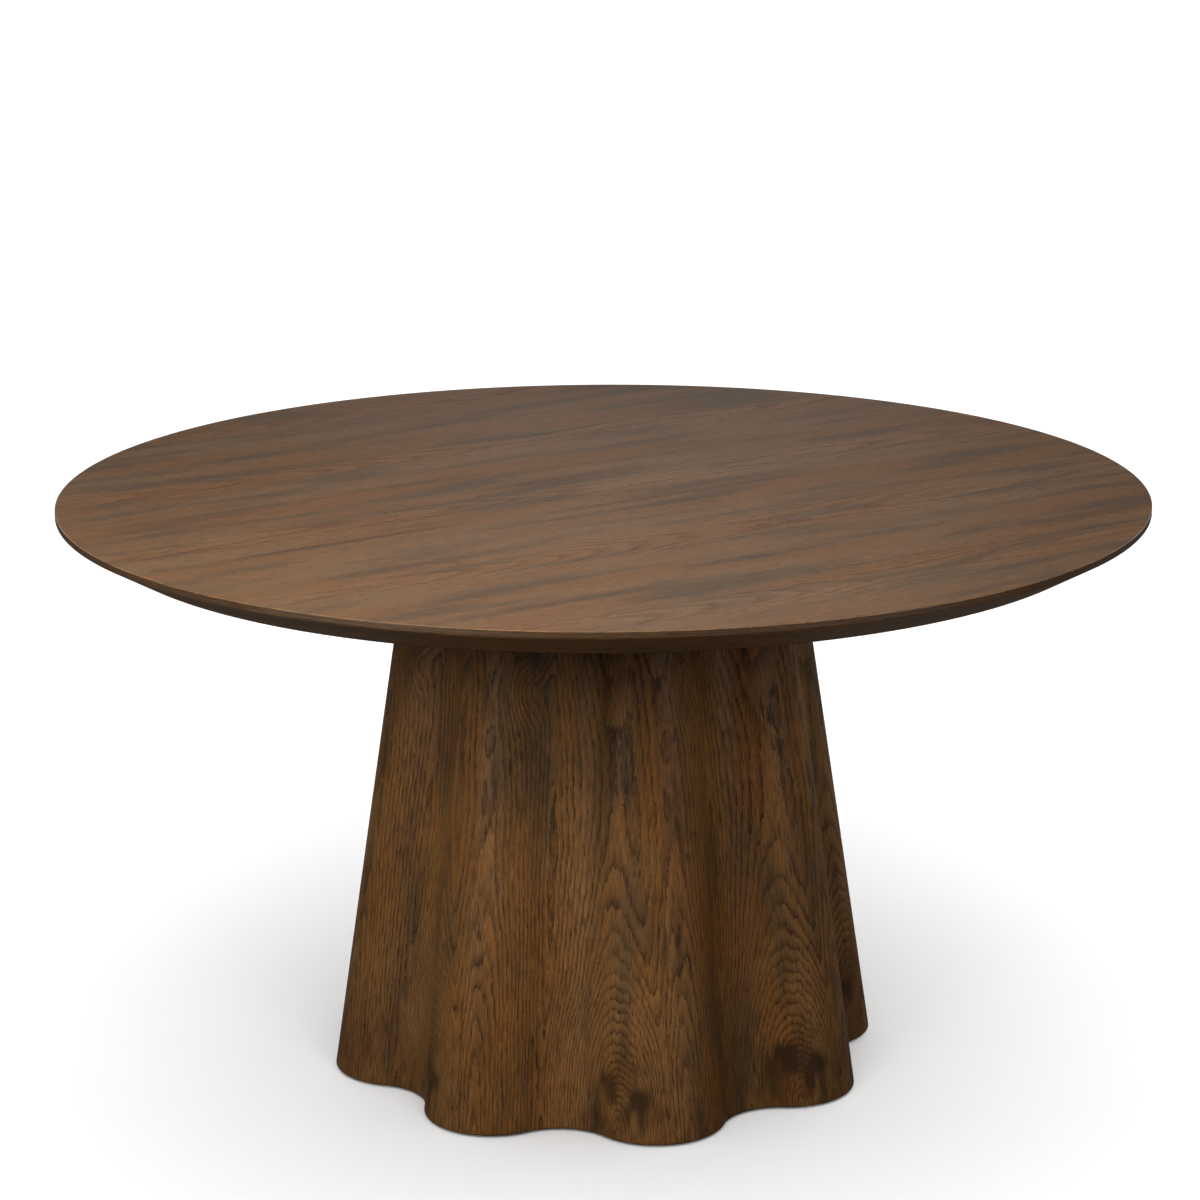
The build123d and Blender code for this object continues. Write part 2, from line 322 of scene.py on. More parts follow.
def make_piece(name: str, skin: Skin, faces: list[Array]) -> bpy.types.Object:
    """Puts a skin and its faces into a new object at the origin.

    Args:
        name: The piece's name.
        skin: Its points and what its finish reads there.
        faces: Point numbers, as arrays of quads or single outlines.

    Returns:
        The new object.
    """
    outlines = [face.tolist() for group in faces for face in np.atleast_2d(group)]
    mesh = bpy.data.meshes.new(name)
    mesh.from_pydata(skin.place.reshape(-1, 3).tolist(), [], outlines)
    corners = np.empty(len(mesh.loops), dtype=np.int32)
    mesh.loops.foreach_get("vertex_index", corners)
    layer = mesh.uv_layers.new(name="Leaf")
    layer.data.foreach_set("uv", skin.leaf.reshape(-1, 2)[corners].astype(np.float32).ravel())
    for label, values in (("rings", skin.rings), ("stain", skin.stain)):
        attribute = mesh.attributes.new(label, "FLOAT", "POINT")
        attribute.data.foreach_set("value", values.astype(np.float32).ravel())
    mesh.shade_smooth()
    mesh.set_sharp_from_angle(angle=radians(SHARP_FROM))
    mesh.validate()
    piece = bpy.data.objects.new(name, mesh)
    bpy.context.collection.objects.link(piece)
    LOG.info("%s: %d points, %d faces", name, len(mesh.vertices), len(mesh.polygons))
    return piece


def settle(
    piece: bpy.types.Object, nodes: list[str], body: str, finish: bpy.types.Material
) -> None:
    """Dresses a piece, puts it on its body and lets it stand for its model nodes.

    Args:
        piece: The new piece.
        nodes: Names of the model's nodes that it stands for.
        body: The body that carries it.
        finish: Its material.
    """
    piece.data.materials.append(finish)
    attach(piece, body)
    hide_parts(*nodes)


# ------------------------------------------------------------- finishes' tools
class Recipe:
    """A material's node tree, written as short calls."""

    def __init__(self, name: str) -> None:
        """Starts an empty material with one Principled shader."""
        self.material = bpy.data.materials.new(name)
        self.material.use_nodes = True
        self.tree = self.material.node_tree
        self.tree.nodes.clear()
        output = self.tree.nodes.new("ShaderNodeOutputMaterial")
        self.shader = self.tree.nodes.new("ShaderNodeBsdfPrincipled")
        self.tree.links.new(self.shader.outputs[0], output.inputs[0])

    def set(self, socket: str, value: float | Socket) -> None:
        """Sets or links one of the shader's sockets."""
        self.feed(self.shader.inputs[socket], value)

    def feed(self, socket: Socket, value: object) -> None:
        """Links a socket to another, or gives it a plain value."""
        if isinstance(value, bpy.types.NodeSocket):
            self.tree.links.new(value, socket)
        elif isinstance(value, tuple) and len(value) == 3 and socket.type == "RGBA":
            socket.default_value = (*value, 1.0)
        else:
            socket.default_value = value

    def leaf(self) -> Socket:
        """The piece's own map: distance across and along the grain."""
        node = self.tree.nodes.new("ShaderNodeUVMap")
        node.uv_map = "Leaf"
        return node.outputs["UV"]

    def place(self) -> Socket:
        """The place on the object, in metres."""
        return self.tree.nodes.new("ShaderNodeTexCoord").outputs["Object"]

    def attribute(self, name: str) -> Socket:
        """A number stored at the piece's points."""
        node = self.tree.nodes.new("ShaderNodeAttribute")
        node.attribute_name = name
        return node.outputs["Fac"]

    def stretched(self, source: Socket, scale: tuple[float, float, float]) -> Socket:
        """A place stretched by a factor on each axis."""
        node = self.tree.nodes.new("ShaderNodeMapping")
        node.vector_type = "POINT"
        node.inputs["Scale"].default_value = scale
        self.tree.links.new(source, node.inputs["Vector"])
        return node.outputs["Vector"]

    def noise(
        self, source: Socket, detail: float = 2.0, roughness: float = 0.5, distortion: float = 0.0
    ) -> Socket:
        """Soft random pattern, from 0 to 1, one bump per unit of its source."""
        node = self.tree.nodes.new("ShaderNodeTexNoise")
        node.noise_dimensions = "3D"
        node.inputs["Scale"].default_value = 1.0
        node.inputs["Detail"].default_value = detail
        node.inputs["Roughness"].default_value = roughness
        node.inputs["Distortion"].default_value = distortion
        self.tree.links.new(source, node.inputs["Vector"])
        return node.outputs["Fac"]

    def math(self, operation: str, first: object, second: object = 0.0) -> Socket:
        """One step of arithmetic."""
        node = self.tree.nodes.new("ShaderNodeMath")
        node.operation = operation
        self.feed(node.inputs[0], first)
        self.feed(node.inputs[1], second)
        return node.outputs[0]

    def ranged(
        self, value: Socket, low: float, high: float, to_low: float = 0.0, to_high: float = 1.0
    ) -> Socket:
        """Eases a value from one range into another and holds it there."""
        node = self.tree.nodes.new("ShaderNodeMapRange")
        node.interpolation_type = "SMOOTHSTEP"
        self.feed(node.inputs["Value"], value)
        node.inputs["From Min"].default_value = low
        node.inputs["From Max"].default_value = high
        node.inputs["To Min"].default_value = to_low
        node.inputs["To Max"].default_value = to_high
        return node.outputs["Result"]

    def mixed(self, share: object, first: object, second: object, blend: str = "MIX") -> Socket:
        """Mixes two colours."""
        node = self.tree.nodes.new("ShaderNodeMix")
        node.data_type = "RGBA"
        node.blend_type = blend
        self.feed(node.inputs[0], share)
        self.feed(node.inputs[MIX_FIRST_COLOR], first)
        self.feed(node.inputs[MIX_SECOND_COLOR], second)
        return node.outputs[MIX_COLOR_RESULT]

    def bump(self, height: Socket, depth: float, strength: float) -> None:
        """Raises the surface by a height pattern, depth in metres."""
        node = self.tree.nodes.new("ShaderNodeBump")
        node.inputs["Strength"].default_value = strength
        node.inputs["Distance"].default_value = depth
        self.tree.links.new(height, node.inputs["Height"])
        self.tree.links.new(node.outputs[0], self.shader.inputs["Normal"])


@dataclass(frozen=True)
class StainedOak:
    """Dark stained oak under satin lacquer.

    The early wood at the start of each ring is full of pores, which hold the stain, so
    it is a dark, broken line that fades into the smoother late wood. Fine fibres and
    short pores run along the grain everywhere. cloud_length is how many clouds of tone
    a metre of grain holds, broken_lines how far a gap takes a line away, and wander how
    many ring widths a line strays.
    """

    name: str
    late_wood: Color = (0.175, 0.081, 0.024)
    warm_wood: Color = (0.160, 0.064, 0.014)
    dull_wood: Color = (0.078, 0.044, 0.017)
    early_wood: Color = (0.018, 0.008, 0.003)
    line_strength: float = 0.96
    fibre_strength: float = 0.60
    cloud_length: float = 2.6
    roughness: float = 0.42
    gloss: float = 0.18
    broken_lines: float = 0.68
    wander: float = 0.85

    def build(self) -> bpy.types.Material:
        """Makes the material."""
        mix = Recipe(self.name)
        leaf = mix.leaf()
        fibre = mix.noise(mix.stretched(leaf, (1250.0, 40.0, 1.0)), 3.0, 0.65)
        pores = mix.noise(mix.stretched(leaf, (520.0, 46.0, 1.0)), 3.0, 0.65)
        waver = mix.noise(mix.stretched(leaf, (210.0, 46.0, 1.0)), 2.0, 0.6)
        clouds = mix.noise(mix.stretched(leaf, (9.0, self.cloud_length, 1.0)), 3.0, 0.55)
        patches = mix.noise(mix.stretched(leaf, (24.0, 2.0 * self.cloud_length, 1.0)), 2.0, 0.5)

        shift = mix.math("MULTIPLY", mix.math("SUBTRACT", waver, 0.5), self.wander)
        phase = mix.math("FRACT", mix.math("ADD", mix.attribute("rings"), shift))
        rise = mix.ranged(phase, 0.0, 0.05)
        core = mix.math("MULTIPLY", rise, mix.ranged(phase, 0.14, 0.36, 1.0, 0.0))
        shade = mix.math("MULTIPLY", rise, mix.ranged(phase, 0.12, 0.75, 0.50, 0.0))
        gaps = mix.ranged(pores, 0.38, 0.58, 1.0 - self.broken_lines, 1.0)
        line = mix.math("MAXIMUM", mix.math("MULTIPLY", core, gaps), shade)

        wood = mix.mixed(mix.ranged(clouds, 0.38, 0.64), self.late_wood, self.warm_wood)
        wood = mix.mixed(mix.ranged(patches, 0.44, 0.70, 0.0, 0.75), wood, self.dull_wood)
        dashes = mix.ranged(pores, 0.55, 0.68, 0.0, self.fibre_strength)
        wood = mix.mixed(dashes, wood, self.early_wood)
        tone = mix.ranged(fibre, 0.32, 0.68, 0.54, 1.46)
        grey = mix.tree.nodes.new("ShaderNodeCombineColor")
        for socket in grey.inputs:
            mix.feed(socket, tone)
        wood = mix.mixed(1.0, wood, grey.outputs[0], "MULTIPLY")
        faint = mix.noise(mix.stretched(leaf, (38.0, 7.0, 1.0)), 2.0, 0.5)
        strength = mix.ranged(faint, 0.34, 0.60, 0.60 * self.line_strength, self.line_strength)
        dark = mix.math("MULTIPLY", line, strength)
        wood = mix.mixed(dark, wood, self.early_wood)
        wood = mix.mixed(mix.ranged(mix.attribute("stain"), 0.0, 1.0, 0.0, 0.85), wood, self.early_wood)

        mix.set("Base Color", wood)
        rough = mix.ranged(fibre, 0.2, 0.8, self.roughness - 0.06, self.roughness + 0.08)
        mix.set("Roughness", mix.math("ADD", rough, mix.math("MULTIPLY", line, 0.10)))
        mix.set("Specular IOR Level", self.gloss)
        height = mix.math("SUBTRACT", mix.math("MULTIPLY", fibre, 0.5), line)
        mix.bump(height, depth=0.00035, strength=0.35)
        return mix.material


@dataclass(frozen=True)
class PlainWood:
    """Sawn or sheet wood inside the table, with straight grain in the object's space."""

    name: str
    light: Color
    dark: Color
    along: tuple[float, float, float] = (6.0, 160.0, 160.0)
    roughness: float = 0.62
    plies: float = 0.0

    def build(self) -> bpy.types.Material:
        """Makes the material."""
        mix = Recipe(self.name)
        place = mix.place()
        streaks = mix.noise(mix.stretched(place, self.along), 4.0, 0.6)
        fine = mix.noise(mix.stretched(place, tuple(3.7 * step for step in self.along)), 3.0, 0.6)
        share = mix.math("ADD", mix.math("MULTIPLY", streaks, 0.7), mix.math("MULTIPLY", fine, 0.3))
        wood = mix.mixed(mix.ranged(share, 0.34, 0.66), self.light, self.dark)
        if self.plies:
            layers = mix.noise(mix.stretched(place, (3.0, 3.0, self.plies)), 1.0, 0.4)
            wood = mix.mixed(mix.ranged(layers, 0.46, 0.56, 0.0, 0.55), wood, self.dark)
        mix.set("Base Color", wood)
        mix.set("Roughness", mix.ranged(fine, 0.2, 0.8, self.roughness - 0.08, self.roughness + 0.1))
        mix.bump(share, depth=0.0004, strength=0.3)
        return mix.material


@dataclass(frozen=True)
class FibreBoard:
    """Pressed fibre board: fine even flecks with no grain."""

    name: str
    light: Color = (0.30, 0.20, 0.115)
    dark: Color = (0.17, 0.105, 0.058)

    def build(self) -> bpy.types.Material:
        """Makes the material."""
        mix = Recipe(self.name)
        place = mix.place()
        flecks = mix.noise(mix.stretched(place, (420.0, 420.0, 900.0)), 3.0, 0.7)
        clouds = mix.noise(mix.stretched(place, (14.0, 14.0, 14.0)), 2.0, 0.5)
        share = mix.math("ADD", mix.math("MULTIPLY", flecks, 0.75), mix.math("MULTIPLY", clouds, 0.25))
        mix.set("Base Color", mix.mixed(mix.ranged(share, 0.35, 0.65), self.light, self.dark))
        mix.set("Roughness", 0.8)
        mix.bump(flecks, depth=0.0002, strength=0.3)
        return mix.material


@dataclass(frozen=True)
class ZincPlate:
    """Bright zinc plated steel with a faint cloudy spangle."""

    name: str
    light: Color = (0.66, 0.66, 0.63)
    dark: Color = (0.44, 0.44, 0.42)

    def build(self) -> bpy.types.Material:
        """Makes the material."""
        mix = Recipe(self.name)
        place = mix.place()
        clouds = mix.noise(mix.stretched(place, (240.0, 240.0, 240.0)), 3.0, 0.6)
        scratches = mix.noise(mix.stretched(place, (1500.0, 1500.0, 120.0)), 2.0, 0.5)
        mix.set("Base Color", mix.mixed(mix.ranged(clouds, 0.3, 0.7), self.light, self.dark))
        mix.set("Metallic", 1.0)
        mix.set("Roughness", mix.ranged(scratches, 0.2, 0.8, 0.26, 0.46))
        mix.bump(scratches, depth=0.00005, strength=0.2)
        return mix.material


@dataclass(frozen=True)
class MouldedPlastic:
    """Black moulded plastic with a fine spark-eroded texture."""

    name: str
    color: Color = (0.018, 0.018, 0.019)
    worn: Color = (0.045, 0.044, 0.043)

    def build(self) -> bpy.types.Material:
        """Makes the material."""
        mix = Recipe(self.name)
        place = mix.place()
        texture = mix.noise(mix.stretched(place, (1600.0, 1600.0, 1600.0)), 2.0, 0.6)
        scuffs = mix.noise(mix.stretched(place, (90.0, 90.0, 90.0)), 4.0, 0.7)
        mix.set("Base Color", mix.mixed(mix.ranged(scuffs, 0.55, 0.75), self.color, self.worn))
        mix.set("Roughness", mix.ranged(scuffs, 0.3, 0.7, 0.46, 0.62))
        mix.bump(texture, depth=0.0001, strength=0.35)
        return mix.material


@dataclass(frozen=True)
class PressedFelt:
    """Dark pressed felt: matted fibres with a soft nap."""

    name: str
    light: Color = (0.085, 0.078, 0.070)
    dark: Color = (0.030, 0.027, 0.025)

    def build(self) -> bpy.types.Material:
        """Makes the material."""
        mix = Recipe(self.name)
        place = mix.place()
        hairs = mix.noise(mix.stretched(place, (900.0, 380.0, 900.0)), 5.0, 0.75, 2.5)
        mix.set("Base Color", mix.mixed(mix.ranged(hairs, 0.35, 0.65), self.dark, self.light))
        mix.set("Roughness", 0.95)
        mix.set("Sheen Weight", 0.35)
        mix.bump(hairs, depth=0.0005, strength=0.6)
        return mix.material


FACE_OAK = StainedOak(
    "oak_face",
    late_wood=(0.172, 0.090, 0.038),
    warm_wood=(0.166, 0.072, 0.022),
    dull_wood=(0.072, 0.046, 0.024),
    roughness=0.44,
    gloss=0.4,
    line_strength=0.40,
    fibre_strength=0.50,
    cloud_length=1.6,
)
# Oak lighter than the shell's: painted light on the bevel, standing in for the light the floor would
# throw up onto it. The upright lip is darkened again with painted shade.
RIM_OAK_PAINTED_LIGHT = StainedOak(
    "oak_rim_painted_light",
    late_wood=(0.255, 0.130, 0.048),
    warm_wood=(0.240, 0.108, 0.032),
    dull_wood=(0.150, 0.092, 0.042),
    line_strength=0.60,
    gloss=0.45,
    cloud_length=1.4,
)
SHELL_OAK = StainedOak("oak_shell")


# -------------------------------------------------------------------- table top
@dataclass
class TableTop:
    """The round top: one face of matched veneer and a solid rim in eight lengths.

    Sizes are in metres. grain is the direction of the face's grain, in degrees from +X.
    Each leaf of the face starts and has its heart's line at a share of its width, and
    the heart's depth swings by heart_turns radians a metre. rim_heart is the place of
    the heart in the rim's section: how far along the outline, and how deep.
    """

    radius: float = 0.700
    height: float = 0.760
    veneer: float = 0.001
    arris: float = 0.0008
    lip: float = 0.009
    thickness: float = 0.041
    bevel_run: float = 0.0575
    rim_width: float = 0.070
    lip_ease: float = 0.0012
    rim_count: int = 8
    face_grid: int = 261
    grain: float = 20.5
    leaf_width: float = 0.290
    leaf_start: float = 0.35
    leaf_heart: float = 0.45
    ring_width: float = 0.0052
    heart: float = 0.060
    heart_swing: float = 0.022
    heart_turns: float = 2.1
    heart_phase: float = 0.6
    heart_wave: Wave = Wave(0.008, 0.35, 1.0, 31)
    slow_wave: Wave = Wave(0.0070, 0.085, 0.55, 32)
    quick_wave: Wave = Wave(0.0024, 0.030, 0.22, 33)
    ripple: Wave = Wave(0.0010, 0.012, 0.09, 34)
    streak: Wave = Wave(1.0, 0.016, 0.42, 35)
    streak_shift: float = 0.0496
    wide_streak: Wave = Wave(0.6, 0.045, 0.9, 36)
    face_stain: float = 0.55
    rim_ring_width: float = 0.0034
    rim_heart: tuple[float, float] = (0.030, 0.022)
    rim_wander: Wave = Wave(0.012, 0.35, 1.0, 41)
    rim_wave: Wave = Wave(0.0030, 0.018, 0.26, 51)
    rim_streak: Wave = Wave(1.0, 0.010, 0.22, 61)
    rim_stain: float = 0.45
    # Painted shade: darkens the whole upright lip of the rim.
    lip_painted_shade: float = 0.88
    rim_leaf_step: float = 0.31
    rim_points: int = 61
    bevel_points: int = 13
    lip_points: int = 5

    def face_rings(self, across: Array, along: Array) -> tuple[Array, Array]:
        """Rings and stain of the face.

        The face is laid from long leaves, side by side. In each the cut passes the
        log's heart at a distance that changes slowly along it, so the rings run as
        long streaks and close only here and there.

        Args:
            across: Distance across the grain, in metres.
            along: Distance along the grain, in metres.

        Returns:
            Ring numbers and stain.
        """
        share = across / self.leaf_width + self.leaf_start
        side = (share - np.floor(share) - self.leaf_heart) * self.leaf_width
        depth = self.heart + self.heart_swing * np.sin(along * self.heart_turns + self.heart_phase)
        depth += self.heart_wave.at(along, np.zeros_like(along))
        radius = np.hypot(side, depth)
        for wave in (self.slow_wave, self.quick_wave, self.ripple):
            radius += wave.at(across, along)
        streak = self.streak.at(across + self.streak_shift, along) + self.wide_streak.at(across, along)
        return radius / self.ring_width, self.face_stain * eased(streak, 0.45, 1.35)

    def face(self, finish: bpy.types.Material) -> None:
        """Makes the face veneer, a thin disc with a rounded upper edge.

        A square grid (a, b) from -1 to 1 is drawn out into a disc: the larger of |a|
        and |b| is the share of the radius, and the smaller over the larger, times an
        eighth of a turn, is the angle from the nearer axis. Three rings outside it
        carry the quarter-round edge and the upright edge down to the underside.
        """
        steps = np.linspace(-1.0, 1.0, self.face_grid)
        a, b = np.meshgrid(steps, steps)
        wide = np.abs(a) >= np.abs(b)
        reach = np.where(wide, a, b)
        other = np.where(wide, b, a)
        angle = np.divide(other, reach, out=np.zeros_like(reach), where=reach != 0) * pi / 4
        flat = (self.radius - self.arris) * reach
        x = np.where(wide, np.cos(angle), np.sin(angle)) * flat
        y = np.where(wide, np.sin(angle), np.cos(angle)) * flat
        z = np.full_like(x, self.height)

        count = self.face_grid
        number = np.arange(count * count).reshape(count, count)
        border = np.concatenate([number[0, :-1], number[:-1, -1], number[-1, :0:-1], number[:0:-1, 0]])
        direction = np.arctan2(y.ravel()[border], x.ravel()[border])
        turn = np.linspace(0.0, pi / 2, ARC_POINTS)[1:, None]
        ring_radius = self.radius - self.arris * (1.0 - np.sin(turn))
        ring_height = self.height - self.arris * (1.0 - np.cos(turn))
        ring_radius = np.vstack([ring_radius, [[self.radius]]])
        ring_height = np.vstack([ring_height, [[self.height - self.veneer]]])
        ring_x = ring_radius * np.cos(direction)
        ring_y = ring_radius * np.sin(direction)
        ring_z = ring_height + 0.0 * direction

        place = np.column_stack(
            [
                np.concatenate([x.ravel(), ring_x.ravel()]),
                np.concatenate([y.ravel(), ring_y.ravel()]),
                np.concatenate([z.ravel(), ring_z.ravel()]),
            ]
        )
        turned = radians(self.grain)
        along = place[:, 0] * cos(turned) + place[:, 1] * sin(turned)
        across = place[:, 1] * cos(turned) - place[:, 0] * sin(turned)
        rings, stain = self.face_rings(across, along)
        skin = Skin(place[None], np.column_stack([across, along])[None], rings[None], stain[None])

        rows = np.arange(ring_x.size).reshape(ring_x.shape) + count * count
        loops = np.vstack([border[None], rows])
        beside = np.roll(loops, -1, axis=1)
        corners = (loops[:-1], loops[1:], beside[1:], beside[:-1])
        edge = np.stack([corner.ravel() for corner in corners], axis=1)
        under = rows[-1][::-1]
        piece = make_piece("top_face", skin, [grid_quads(count, count, False), edge, under])
        settle(piece, ["top_face_veneer"], TABLE_BODY, finish)

    def rim_section(self) -> Array:
        """Outline of the rim in (radius, height), counter-clockwise from the inner lower corner.

        The bevel is a straight line in twelve steps, and a small arc joins it to the
        upright lip.
        """
        under = self.height - self.thickness + self.veneer
        core = self.radius - self.rim_width
        lip_low = self.height - self.lip
        slope = self.bevel_run / (lip_low - (self.height - self.thickness))
        start = self.radius - self.bevel_run + slope * self.veneer
        run = np.linspace(0.0, 1.0, self.bevel_points)[:, None]
        bevel = np.array([start, under]) * (1 - run) + np.array([self.radius, lip_low]) * run
        bevel[-1] -= (bevel[-1] - bevel[-2]) * (self.lip_ease / np.hypot(*(bevel[-1] - bevel[-2])))
        lip_steps = np.linspace(lip_low + self.lip_ease, self.height - self.veneer, self.lip_points)
        upright = np.column_stack([np.full(self.lip_points, self.radius), lip_steps])
        corner = np.array([[self.radius, lip_low]])
        ease = 0.25 * bevel[-1:] + 0.5 * corner + 0.25 * upright[:1]
        inner = np.array([[core, self.height - self.veneer], [core, under]])
        return np.vstack([bevel, ease, upright, inner])

    def rim(self, finish: bpy.types.Material) -> None:
        """Makes the rim's lengths, each the rim's section carried round its share of the circle."""
        section = self.rim_section()
        travel = np.concatenate([[0.0], np.cumsum(np.hypot(*np.diff(section, axis=0).T))])
        for i in range(self.rim_count):
            turn = (i + np.linspace(0.0, 1.0, self.rim_points)[:, None]) * tau / self.rim_count
            x = section[:, 0] * np.cos(turn)
            y = section[:, 0] * np.sin(turn)
            z = section[:, 1] + 0.0 * turn
            round_it = turn * self.radius + 0.0 * travel
            across = travel + 0.0 * turn
            wander = self.rim_wander.at(round_it, np.zeros_like(across), i)
            radius = np.hypot(across - self.rim_heart[0] + wander, self.rim_heart[1])
            radius += self.rim_wave.at(across, round_it, i)
            streak = self.rim_streak.at(across, round_it, i)
            # The upright lip gets painted shade on top of the rim's streaks.
            on_lip = section[:, 1] > self.height - self.lip
            skin = Skin(
                np.stack([x, y, z], axis=-1),
                np.stack([across + self.rim_leaf_step * i, round_it], axis=-1),
                radius / self.rim_ring_width,
                self.rim_stain * eased(streak, 0.3, 1.0) + self.lip_painted_shade * on_lip,
            )
            around = len(section)
            sides = grid_quads(len(turn), around, True)[:, ::-1]
            first = np.arange(around)
            last = first[::-1] + around * (len(turn) - 1)
            piece = make_piece(f"rim_{i + 1}", skin, [sides, first, last])
            settle(piece, [f"lipping_{i + 1}"], TABLE_BODY, finish)


# --------------------------------------------------------------------- pedestal
@dataclass
class Pedestal:
    """The flared drum: eight equal panels that run from crest to crest.

    The outline is made of arcs. A lobe's round has its centre on the crest's line, and
    the valley's round touches both lobes beside it. Upwards the outline shrinks evenly
    and the wall keeps its thickness. Sizes are in metres, at the floor.
    """

    lobes: int = 8
    foot_reach: float = 0.364
    head_reach: float = 0.254
    lobe_depth: float = 0.059
    lobe_radius: float = 0.089
    wall: float = 0.014
    underside: float = 0.719
    foot_gap: float = 0.0035
    foot_ease: float = 0.003
    top: float = 0.701
    columns: int = 101
    rows: int = 130
    leaf_step: float = 0.43
    leaf: LeafFigure = PEDESTAL_LEAF

    def __post_init__(self) -> None:
        """Works out the arcs' centres, radii and sweeps."""
        self.half_pitch = pi / self.lobes
        self.lobe_centre = self.foot_reach - self.lobe_radius
        valley = self.foot_reach - self.lobe_depth
        gap = valley - self.lobe_radius
        lean = self.lobe_centre * cos(self.half_pitch) - gap
        self.valley_centre = (self.lobe_centre**2 - gap**2) / (2 * lean)
        self.valley_radius = self.valley_centre - valley
        along = self.valley_centre * cos(self.half_pitch) - self.lobe_centre
        self.lobe_sweep = atan2(self.valley_centre * sin(self.half_pitch), along)
        self.valley_sweep = self.lobe_sweep - self.half_pitch
        self.half_lobe = self.lobe_radius * self.lobe_sweep
        self.pitch_length = 2 * self.half_lobe + 2 * self.valley_radius * self.valley_sweep

    def size_at(self, up: Array) -> Array:
        """Size of the outline at a height, as a share of its size at the floor."""
        return 1.0 - (1.0 - self.head_reach / self.foot_reach) * up / self.underside

    def outline(self, share: Array, up: Array, inset: Array) -> tuple[Array, Array]:
        """Place on the outline.

        Args:
            share: Place from one crest, 0, to the next, 1, by arc length.
            up: Height.
            inset: Distance inside the outline.

        Returns:
            x and y, for the panel whose first crest lies on +X.
        """
        size = self.size_at(up)
        travel = share * self.pitch_length
        first_turn = travel / self.lobe_radius
        last_turn = (travel - self.pitch_length) / self.lobe_radius
        valley_turn = self.valley_sweep - (travel - self.half_lobe) / self.valley_radius
        lobe = self.lobe_radius * size - inset
        valley = self.valley_radius * size + inset
        first_x = self.lobe_centre * size + lobe * np.cos(first_turn)
        first_y = lobe * np.sin(first_turn)
        end_x = self.lobe_centre * size + lobe * np.cos(last_turn)
        end_y = lobe * np.sin(last_turn)
        pitch = 2 * self.half_pitch
        last_x = end_x * cos(pitch) - end_y * sin(pitch)
        last_y = end_x * sin(pitch) + end_y * cos(pitch)
        bearing = self.half_pitch + pi + valley_turn
        valley_x = self.valley_centre * size * cos(self.half_pitch) + valley * np.cos(bearing)
        valley_y = self.valley_centre * size * sin(self.half_pitch) + valley * np.sin(bearing)
        where = [travel <= self.half_lobe, travel >= self.pitch_length - self.half_lobe]
        x = np.select(where, [first_x, last_x], valley_x)
        y = np.select(where, [first_y, last_y], valley_y)
        return x, y

    def side(self, up: Array, inset: Array, columns: int, number: int, backwards: bool) -> Skin:
        """One side of a panel's wall as a skin, with its leaf's rings."""
        share = np.linspace(0.0, 1.0, columns)[None, :]
        if backwards:
            share = share[:, ::-1]
        share = share + 0.0 * up
        up = up + 0.0 * share
        x, y = self.outline(share, up, inset + 0.0 * share)
        turn = number * 2 * self.half_pitch
        place = np.stack([x * cos(turn) - y * sin(turn), x * sin(turn) + y * cos(turn), up], axis=-1)
        span = self.pitch_length * self.size_at(up)
        rings = self.leaf.rings(share, span, up, number)
        stain = self.leaf.stain(share, span, up, number)
        grain = np.stack([(share - 0.5) * span + self.leaf_step * number, up], axis=-1)
        return Skin(place, grain, rings, stain)

    def levels(self) -> tuple[Array, Array]:
        """Heights of the rows and the outer side's inset there, a quarter-round at the foot."""
        turn = np.linspace(0.0, pi / 2, ARC_POINTS)
        round_up = self.foot_gap + self.foot_ease * (1.0 - np.cos(turn))
        round_in = self.foot_ease * (1.0 - np.sin(turn))
        rest = np.linspace(self.foot_gap + self.foot_ease, self.top, self.rows)[1:]
        up = np.concatenate([round_up, rest])[:, None]
        inset = np.concatenate([round_in, np.zeros(len(rest))])[:, None]
        return up, inset

    def panels(self, finish: bpy.types.Material) -> None:
        """Makes the panels, each an outer and an inner side closed by narrow bands."""
        up, inset = self.levels()
        for i in range(self.lobes):
            outer = self.side(up, inset, self.columns, i, False)
            inner = self.side(up, np.full_like(up, self.wall), self.columns, i, True)
            skin = Skin.joined([outer, inner])
            around = 2 * self.columns
            sides = grid_quads(len(up), around, True)
            near = np.arange(self.columns - 1)
            far = around - 1 - near
            foot = np.stack([near, far, far - 1, near + 1], axis=1)
            head = foot[:, ::-1] + around * (len(up) - 1)
            piece = make_piece(f"shell_{i + 1}", skin, [sides, foot, head])
            settle(piece, [f"shell_panel_{i + 1}"], TABLE_BODY, finish)


# ------------------------------------------------------------- hidden structure
BIRCH_PLYWOOD = PlainWood(
    "birch_plywood",
    light=(0.52, 0.36, 0.20),
    dark=(0.33, 0.21, 0.11),
    along=(7.0, 120.0, 120.0),
    roughness=0.6,
    plies=700.0,
)
STAINED_PLYWOOD = PlainWood(
    "stained_plywood",
    light=(0.060, 0.034, 0.018),
    dark=(0.026, 0.014, 0.008),
    along=(7.0, 120.0, 90.0),
    roughness=0.5,
)
BACKING_VENEER = PlainWood(
    "backing_veneer",
    light=(0.105, 0.058, 0.026),
    dark=(0.048, 0.026, 0.012),
    along=(5.0, 170.0, 1.0),
    roughness=0.55,
)
SAWN_PINE = PlainWood(
    "sawn_pine",
    light=(0.60, 0.40, 0.20),
    dark=(0.42, 0.25, 0.11),
    along=(90.0, 90.0, 4.0),
    roughness=0.65,
)


